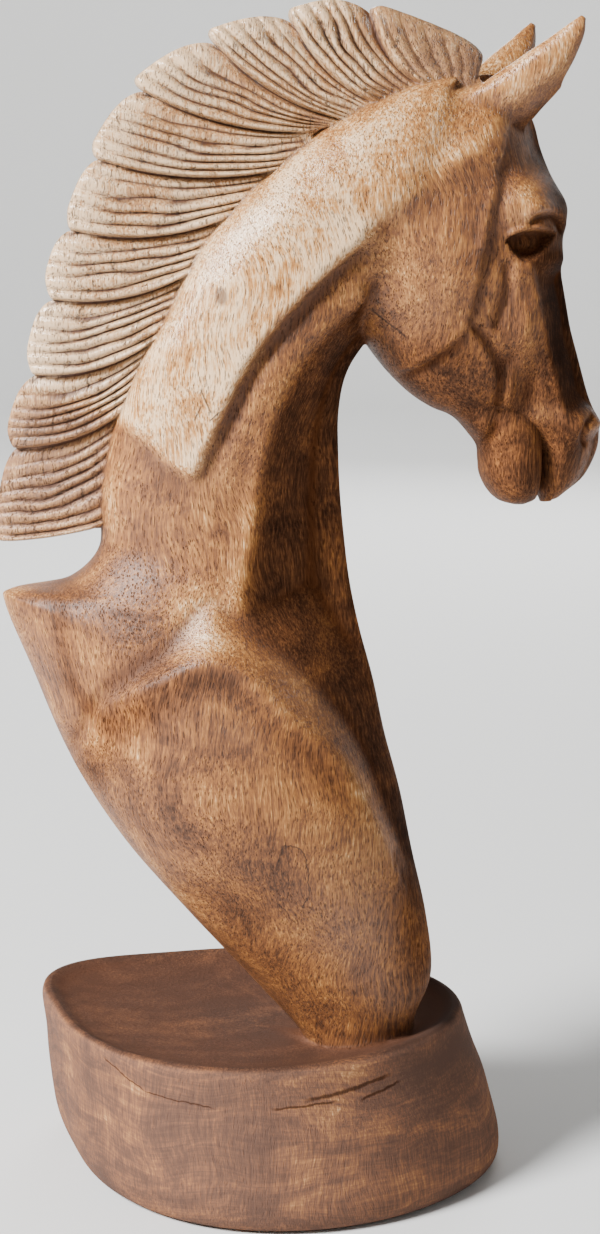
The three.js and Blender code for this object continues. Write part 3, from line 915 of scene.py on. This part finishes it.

# Spots: middle x and z, reach in x and z, how much paler or darker.
# The spots at (-48, 298) and (-28, 262) are painted highlights, where the glare falls on the
# saddle and on the shoulder's dome; the one on the withers is paler wood.
PALE_WITHERS_AND_SHOULDER_HIGHLIGHTS = (
    ((-125, 285), (28, 30), 0.15), ((-48, 298), (14, 12), 0.5), ((-28, 262), (26, 24), 0.26),
)
# The two darker spots at x 58 and 70 are painted shade on the front of the chest.
CHEST_AND_FOOT_WITH_FRONT_SHADE = (
    ((20, 120), (40, 45), 0.12), ((20, 150), (26, 26), 0.1), ((70, 150), (16, 70), -0.3),
    ((58, 150), (12, 45), -0.3), ((-15, 125), (36, 14), -0.15),
)
# Painted shade on the front of the forehead (122, 520), the front of the nose (130, 450) and in
# the eye's hollow (106, 482); painted highlights on the brow (105, 507) and (110, 503) and on the
# muzzle (124, 400).
HEAD_SPOTS_WITH_PAINTED_LIGHT = (
    ((120, 375), (26, 30), -0.2), ((130, 450), (10, 60), -0.3), ((105, 507), (12, 8), 0.2),
    ((55, 460), (26, 40), 0.12), ((122, 520), (10, 30), -0.4), ((96, 372), (20, 26), -0.14),
    ((110, 503), (14, 12), 0.2), ((80, 405), (60, 34), -0.2), ((60, 430), (22, 12), -0.18),
    ((106, 482), (9, 6), -0.4), ((124, 400), (10, 6), 0.3),
)
HEART_LINE = smooth_line([[0, 545], [6, 534], [13, 518], [22, 502], [31, 490]])
SAP_LINE = smooth_line([
    [-118, 318], [-117, 290], [-113, 270], [-105, 259], [-92, 252], [-76, 262],
])


# The neck: a pale plate, partly paler wood and partly painted highlight, painted shade on the
# front, and a dark band of open pores along the shoulder's arch.
from_throat = beside(THROAT_EDGE, side_x, side_z)
on_plate = (rise(-beside(PLATE_EDGE, side_x, side_z), -1, 2)
            * rise(beside(PLATE_END, side_x, side_z), -1, 1) * rise(side_z, 340, 375))
on_neck = touching("neck") & ~touching("head")
# Painted shade on the front of the neck and chest past the throat's edge, which turns away from
# the lamp.
painted_front_shade = on_neck * rise(from_throat, -1, 2) * rise(side_z, 60, 130)
# The plate is made paler partly for its paler wood and partly as painted highlight for the glare
# on it.
tone = 0.54 * on_plate * (1 - 0.4 * rise(side_x, 10, 60)) - 0.40 * painted_front_shade - 0.09
tone += 0.1 * rise(-from_throat, 0, 30) * rise(side_z, 300, 345)
porous = crease(beside(ARCH_EDGE, side_x, side_z) + 9, 8, 1) * rise(side_z, 190, 225)
tone -= 0.25 * porous
for centre, reach, strength in PALE_WITHERS_AND_SHOULDER_HIGHLIGHTS + CHEST_AND_FOOT_WITH_FRONT_SHADE + HEAD_SPOTS_WITH_PAINTED_LIGHT:
    tone += swelling(side_x, side_z, centre, reach, strength)

# The head: painted shade on the front plane of the nose and on the faces of the ears that turn
# down and forward.
painted_nose_shade = rise(beside(NOSE_EDGE, side_x, side_z), -1, 2) * rise(-side_z, -484, -474)
tone -= 0.34 * painted_nose_shade * rise(side_z, 396, 410) * rise(side_x, 95, 105)
# Painted shade on the faces of the ears that turn down and forward.
down_and_forward = normals @ np.array([0.7, 0, -0.7])
tone -= 0.35 * touching("ear") * rise(down_and_forward, 0.3, 0.65)

# The mane gets darker towards the ears; the base is dark, most of all on its top and in front.
on_base = touching("base")
base_top = on_base & (side_z > BASE_HEIGHT - 12) & (normals[:, 2] > 0.7)
tone += 0.08 * on_mane - 0.24 * on_mane * rise(side_x, 15, 55)
tone -= on_base * (0.34 + 0.2 * rise(side_x, 20, 70)) + 0.26 * base_top

# Two thin dark growth lines show in the photo: one over the neck, one under the withers.
tone -= 0.35 * crease(beside(HEART_LINE, side_x, side_z), 3.0, 1) * rise(side_z, 488, 494)
tone -= 0.35 * crease(beside(SAP_LINE, side_x, side_z), 3.0, 1) * rise(-side_z, -318, -305)

for name, values in (
    ("hollow", hollow), ("edge", edge), ("tone", tone), ("cut", on_mane.astype(float)),
    ("rough_base", on_base * (1 - 0.55 * base_top)), ("porous", np.clip(porous, 0, 1)),
):
    smooth = values if name == "hollow" else web.mean(web.mean(values))
    layer = bust.data.attributes.new(name, "FLOAT", "POINT")
    layer.data.foreach_set("value", smooth.astype(np.float32))
for name in [*mane_fields, "lift", "form"]:
    if name in bust.data.attributes:
        bust.data.attributes.remove(bust.data.attributes[name])
print("tone from", round(float(tone.min()), 2), "to", round(float(tone.max()), 2))

# %% [markdown]
# ## Wood
# The finish is a tree of nodes, because wood is different in every place. Its patterns are
# measured in the object's own coordinates, so they run through the block as real grain does and
# cross from one form to the next without a seam. A few helpers keep the tree readable: each adds
# a node and gives its output back.

# %% Helpers for nodes
wood.use_nodes = True
tree = wood.node_tree
shader = tree.nodes["Principled BSDF"]


def add(kind, inputs=(), output=0, **settings):
    """A new node with its inputs linked or filled, and one of its outputs given back."""
    made = tree.nodes.new(kind)
    for key, value in settings.items():
        setattr(made, key, value)
    for key, value in dict(inputs).items():
        if hasattr(value, "is_output"):
            tree.links.new(value, made.inputs[key])
        else:
            made.inputs[key].default_value = value
    return made.outputs[output]


def maths(operation, a, b=0.0, clamp=False):
    return add("ShaderNodeMath", {0: a, 1: b}, operation=operation, use_clamp=clamp)


def vectors(operation, a, b=(0, 0, 0), output=0):
    return add("ShaderNodeVectorMath", {0: a, 1: b}, output=output, operation=operation)


def field(name):
    """A value that was kept on the mesh."""
    return add("ShaderNodeAttribute", output="Fac", attribute_name=name)


def stretched(vector, across, up):
    """Coordinates in which a pattern is long and thin along the grain."""
    return vectors("MULTIPLY", vector, (across, across, up))


def noise(vector, scale, detail, rough=0.5, warp=0.0):
    return add("ShaderNodeTexNoise", {
        "Vector": vector, "Scale": scale, "Detail": detail, "Roughness": rough,
        "Distortion": warp,
    })


def between(value, low, high, to_low=0.0, to_high=1.0):
    """0 at low and 1 at high, and no further to either side."""
    return add("ShaderNodeMapRange", {
        "Value": value, "From Min": low, "From Max": high, "To Min": to_low, "To Max": to_high,
    }, clamp=True)


def mixed(share, a, b):
    return add("ShaderNodeMix", {0: share, 6: a, 7: b}, output=2, data_type="RGBA")


def around_middle(value, weight):
    """A pattern of 0 to 1 as a push up or down."""
    return maths("MULTIPLY", maths("SUBTRACT", value, 0.5), weight)


# %% [markdown]
# ### Grain, fibres and pores
# The grain runs up the block, so the patterns are stretched along it: growth rings around the
# heart of the trunk, which is taken to lie behind the bust, fibres, and pores, which are short
# dark slits half a millimetre wide. Chance leaves most pores out, so the others come in drifts,
# as in tropical hardwood. On the base the saw left fine level scratches, and smears of the finish.

# %% Grain, fibres and pores
place = add("ShaderNodeTexCoord", output="Object")
drift = add("ShaderNodeTexNoise", {"Vector": place, "Scale": 9.0, "Detail": 2.0}, output="Color")
drift = vectors("SUBTRACT", drift, (0.5, 0.5, 0.5))
bent = vectors("ADD", place, vectors("MULTIPLY", drift, (0.05, 0.05, 0.05)))
HEART_OF_TRUNK = (-0.09, 0.11, 0.0)
rings = add("ShaderNodeTexWave", {
    "Vector": stretched(vectors("SUBTRACT", bent, HEART_OF_TRUNK), 1.0, 0.12),
    "Scale": 17.0, "Distortion": 3.5, "Detail": 3.0, "Detail Scale": 1.6,
}, output="Fac", wave_type="RINGS", rings_direction="Z", wave_profile="SIN")
fibres = noise(stretched(bent, 760.0, 60.0), 1.0, 4.0, 0.65)
fine_fibres = noise(stretched(place, 1900.0, 260.0), 1.0, 2.0)
mottle = noise(bent, 16.0, 4.0, 0.6, 0.6)
patches = noise(stretched(place, 30.0, 12.0), 1.0, 3.0)
smear = noise(stretched(bent, 14.0, 60.0), 1.0, 5.0, 0.65, 1.2)
curl = noise(stretched(bent, 22.0, 120.0), 1.0, 3.0, 0.6, 0.8)
scratches = noise(stretched(bent, 60.0, 800.0), 1.0, 3.0, 0.6, 0.4)

slits = {"Vector": stretched(bent, 1250.0, 170.0), "Scale": 1.0}
slit = add("ShaderNodeTexVoronoi", slits, output="Distance", feature="F1")
slit_size = add("ShaderNodeTexVoronoi", slits, output="Color", feature="F1")
slit_size = add("ShaderNodeSeparateColor", {0: slit_size})
chance = maths("ADD", between(maths("ADD", slit_size, patches), 0.62, 1.1), field("porous"))
few_on_base = maths("SUBTRACT", 1.0, maths("MULTIPLY", field("rough_base"), 0.8))
chance = maths("MULTIPLY", chance, few_on_base, True)
pores = maths("MULTIPLY", between(slit, 0.20, 0.36, 1.0, 0.0), chance)
print("patterns:", len(tree.nodes), "nodes")

# %% [markdown]
# ### Knot, cracks and stains
# Some marks have a place of their own: a small knot on the neck, a thin crack in a ring on the
# chest, a scratch on the cheek, and cracks and stains under the base's rim. Each is an oval or a
# short stroke around a named point, made ragged with a little noise. They stay on the near side.
# The bare wood of the mane is crossed by small drying cracks wherever its noise peaks.

# %% Knot, cracks and stains
wiggle = noise(place, 110.0, 3.0, 0.6)
near_side = between(add("ShaderNodeSeparateXYZ", {0: place}, output=1), -0.03, -0.04)
checks = noise(stretched(bent, 420.0, 75.0), 1.0, 4.0, 0.75)
checks = maths("MULTIPLY", between(checks, 0.58, 0.68), field("cut"))


def from_place(x, z):
    return vectors("SUBTRACT", place, ((x + PLACE[0]) * MM, 0, z * MM))


def oval(x, z, wide, high):
    """1 at the edge of an upright oval, less inside it and more outside."""
    away = vectors("MULTIPLY", from_place(x, z), (1 / wide / MM, 0, 1 / high / MM))
    return maths("ADD", vectors("LENGTH", away, output=1), around_middle(mottle, 0.9))


def stroke(x, z, degrees, length, width):
    """1 on a short straight mark, 0 away from it."""
    lean = math.radians(degrees)
    away = from_place(x, z)
    run = vectors("DOT_PRODUCT", away, (math.cos(lean), 0, math.sin(lean)), 1)
    off = vectors("DOT_PRODUCT", away, (-math.sin(lean), 0, math.cos(lean)), 1)
    off = maths("ADD", off, around_middle(wiggle, 3 * MM))
    inside = between(maths("ABSOLUTE", run), length / 2 * MM, length / 2.6 * MM)
    return maths("MULTIPLY", inside, between(maths("ABSOLUTE", off), width * MM, width / 3 * MM))


knot = maths("MULTIPLY", between(oval(-37.5, 460, 2.6, 3.6), 1.5, 0.9), near_side)
ring_crack = maths("ADD", oval(-4, 176, 8, 19), maths("MULTIPLY", wiggle, 0.7))
ring_crack = maths("ABSOLUTE", maths("SUBTRACT", ring_crack, 1.35))
ring_crack = maths("MULTIPLY", between(ring_crack, 0.06, 0.02), near_side)
marks = maths("MULTIPLY", ring_crack, between(noise(place, 45.0, 1.0), 0.46, 0.52))
# Strokes: middle x and z, lean in degrees, length, half width.
SCRATCH_ON_CHEEK = ((43, 446, -40, 26, 0.7),)
CRACKS_ON_NECK = ((-45, 410, 118, 14, 0.7), (-49, 404, 62, 9, 0.6), (-41, 403, 40, 7, 0.5))
STAINS_ON_BASE = ((24, 71, 7, 46, 1.4), (2, 66, 2, 34, 0.9), (40, 67, 12, 22, 1.0))
CRACK_ON_BASE = ((-88, 74, -27, 26, 0.5), (-60, 67, -5, 38, 0.45))
strokes = SCRATCH_ON_CHEEK + CRACKS_ON_NECK + STAINS_ON_BASE + CRACK_ON_BASE
for mark in strokes:
    marks = maths("MAXIMUM", marks, maths("MULTIPLY", stroke(*mark), near_side))
print("strokes:", len(strokes))

# %% [markdown]
# ### From pattern to colour
# All the patterns, and the painted light and shade in the tone, push one number, the level, up or
# down, and one ramp of browns turns it into colour, which keeps the hues of one log together. The
# hollows, and what isn't sound wood, such as open pores and cracks, are laid over that in colours
# of their own.

# %% From pattern to colour
on_rough = field("rough_base")
# The tone brings in the wood's colours and the painted light and shade.
level = maths("ADD", 0.5, maths("MULTIPLY", field("tone"), 0.62))
level = maths("ADD", level, maths("MULTIPLY", field("edge"), 0.16))
for part, weight in ((rings, 0.10), (fibres, 1.05), (fine_fibres, 0.50), (mottle, 0.74),
                     (patches, 0.25), (smear, 0.25), (curl, 0.28)):
    level = maths("ADD", level, around_middle(part, weight))
for part, weight in ((scratches, 0.6), (smear, 1.2)):
    level = maths("ADD", level, maths("MULTIPLY", around_middle(part, weight), on_rough))

BROWNS = (
    (0.00, (0.022, 0.009, 0.005, 1)), (0.25, (0.074, 0.030, 0.014, 1)),
    (0.45, (0.162, 0.062, 0.024, 1)), (0.62, (0.284, 0.112, 0.032, 1)),
    (0.80, (0.464, 0.220, 0.070, 1)), (1.00, (0.760, 0.510, 0.290, 1)),
)
BARE_CUT = (0.42, 0.30, 0.21, 1)
HOLLOW_BROWN = (0.070, 0.022, 0.007, 1)
OPEN_PORE = (0.050, 0.018, 0.008, 1)
DRY_CRACK = (0.060, 0.030, 0.018, 1)
KNOT = (0.090, 0.045, 0.028, 1)
GREY_OF_BASE = (0.235, 0.140, 0.108, 1)
DEEP_MARK = (0.030, 0.012, 0.006, 1)
ramp = tree.nodes.new("ShaderNodeValToRGB")
tree.links.new(level, ramp.inputs[0])
stops = ramp.color_ramp.elements
stops[0].position, stops[0].color = BROWNS[0]
stops[1].position, stops[1].color = BROWNS[-1]
for position, brown in BROWNS[1:-1]:
    stops.new(position).color = brown
colour = ramp.outputs[0]
# The hollows found from the shape are mixed towards a dark brown.
for where, weight, brown in (
    (field("cut"), 0.22, BARE_CUT), (field("hollow"), 0.75, HOLLOW_BROWN),
    (pores, 0.62, OPEN_PORE), (checks, 0.8, DRY_CRACK), (knot, 0.75, KNOT),
    (on_rough, 0.37, GREY_OF_BASE), (marks, 0.8, DEEP_MARK),
):
    colour = mixed(maths("MULTIPLY", where, weight, True), colour, brown)
tree.links.new(colour, shader.inputs["Base Color"])
print("browns in the ramp:", len(stops))

# %% [markdown]
# ### Gloss and fine relief
# Sanded and oiled wood shines softly: more where it is pale and polished, less in the hollows and
# pores, where the finish sank in. Only pores, fibres and drying cracks are left to bump, because
# they are too fine for the mesh. Every larger form is carved in it.

# %% Gloss and fine relief
rough = maths("ADD", 0.33, maths("MULTIPLY", mottle, 0.16))
rough = maths("SUBTRACT", rough, maths("MULTIPLY", field("tone"), 0.35))
rough = maths("ADD", rough, maths("MULTIPLY", field("hollow"), 0.25))
rough = maths("ADD", rough, maths("MULTIPLY", pores, 0.25), True)
tree.links.new(rough, shader.inputs["Roughness"])
height = maths("MULTIPLY", fibres, 0.45)
height = maths("ADD", height, maths("MULTIPLY", fine_fibres, 0.18))
height = maths("SUBTRACT", height, maths("MULTIPLY", pores, 0.9))
height = maths("SUBTRACT", height, checks)
bump = add("ShaderNodeBump", {"Strength": 1.0, "Distance": 0.8 * MM, "Height": height})
tree.links.new(bump, shader.inputs["Normal"])
gloss = maths("ADD", 1.42, maths("MULTIPLY", field("tone"), 0.8))
gloss = maths("MINIMUM", maths("MAXIMUM", gloss, 1.06), 1.52)
tree.links.new(gloss, shader.inputs["IOR"])
bust.data.materials.clear()
bust.data.materials.append(wood)
print("the finish:", len(tree.nodes), "nodes")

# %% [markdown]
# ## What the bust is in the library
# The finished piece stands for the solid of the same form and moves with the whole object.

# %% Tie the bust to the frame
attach(bust, "root")
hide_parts(NODE)

# %% [markdown]
# ## Floor, light and camera
# The bust stands in the middle of a wide pale bowl with a soft bend, so no horizon and no corner
# shows behind it from any side.

# %% Floor
FLOOR_RADIUS = 4.2
BEND = 1.5
ROUND = 96
sweep = [(0.4, 0)] + [
    (FLOOR_RADIUS + BEND * math.sin(a), BEND - BEND * math.cos(a))
    for a in np.linspace(0, math.pi / 2, 20)
] + [(FLOOR_RADIUS + BEND, 4.0)]
around = [(math.cos(a), math.sin(a)) for a in np.linspace(0, math.tau, ROUND, endpoint=False)]
floor = mesh_object(
    "floor",
    [(r * c, r * s, z) for r, z in sweep for c, s in around],
    [tuple(range(ROUND))] + [
        (i * ROUND + j, (i + 1) * ROUND + j, (i + 1) * ROUND + (j + 1) % ROUND,
         i * ROUND + (j + 1) % ROUND)
        for i in range(len(sweep) - 1) for j in range(ROUND)
    ],
)
for polygon in floor.data.polygons:
    polygon.use_smooth = True
pale = bpy.data.materials.new("pale_floor")
pale.use_nodes = True
pale.node_tree.nodes["Principled BSDF"].inputs["Base Color"].default_value = (0.76, 0.76, 0.75, 1)
pale.node_tree.nodes["Principled BSDF"].inputs["Roughness"].default_value = 0.9
floor.data.materials.append(pale)
print("floor:", len(floor.data.polygons), "faces")

# %% [markdown]
# ### Light
# The photo has one broad soft light, high on the left: it gives the pale glare on the neck and
# leaves the throat and the nose in shade. A weak lamp behind keeps the far side readable, and a
# third one only lights the backdrop.

# %% Light


def area_light(name, place, target, size, watts):
    light = bpy.data.lights.new(name, "AREA")
    light.shape = "DISK"
    light.size = size
    light.energy = watts
    lamp = bpy.data.objects.new(name, light)
    lamp.location = place
    lamp.rotation_euler = (Vector(target) - Vector(place)).to_track_quat("-Z", "Y").to_euler()
    bpy.context.scene.collection.objects.link(lamp)


area_light("key", (-2.0, -1.45, 2.0), (0, 0, 0.35), 1.0, 300)
area_light("far side", (0.5, 2.7, 1.3), (0, 0, 0.35), 1.4, 30)
area_light("backdrop", (0, 2.0, 3.2), (0, 5.0, 1.0), 2.2, 120)

world = bpy.data.worlds.new("studio")
bpy.context.scene.world = world
world.use_nodes = True
world.node_tree.nodes["Background"].inputs["Color"].default_value = (1.0, 0.98, 0.95, 1)
world.node_tree.nodes["Background"].inputs["Strength"].default_value = 0.11

# %% [markdown]
# ### Camera
# Where the camera stood was worked out from the photo: how much of the base's top is seen gives
# its height and tilt, and how the near side spreads gives its distance.

# %% Camera
PHOTO_HEIGHT = 1234
FOCAL_PIXELS = 2553
SENSOR = 36
CAMERA_DISTANCE = 1270
CAMERA_HEIGHT = 524
LOOK_DOWN = 10.15

camera = bpy.data.objects.new("camera", bpy.data.cameras.new("camera"))
camera.data.sensor_width = SENSOR
camera.data.sensor_fit = "AUTO"
camera.data.lens = FOCAL_PIXELS * SENSOR / PHOTO_HEIGHT
camera.location = Vector((PLACE[0], PLACE[1] - CAMERA_DISTANCE, CAMERA_HEIGHT)) * MM
camera.rotation_euler = (math.radians(90 - LOOK_DOWN), 0, 0)
bpy.context.scene.collection.objects.link(camera)
bpy.context.scene.camera = camera
print("lens:", round(camera.data.lens, 1), "mm on a picture", SENSOR, "mm high")
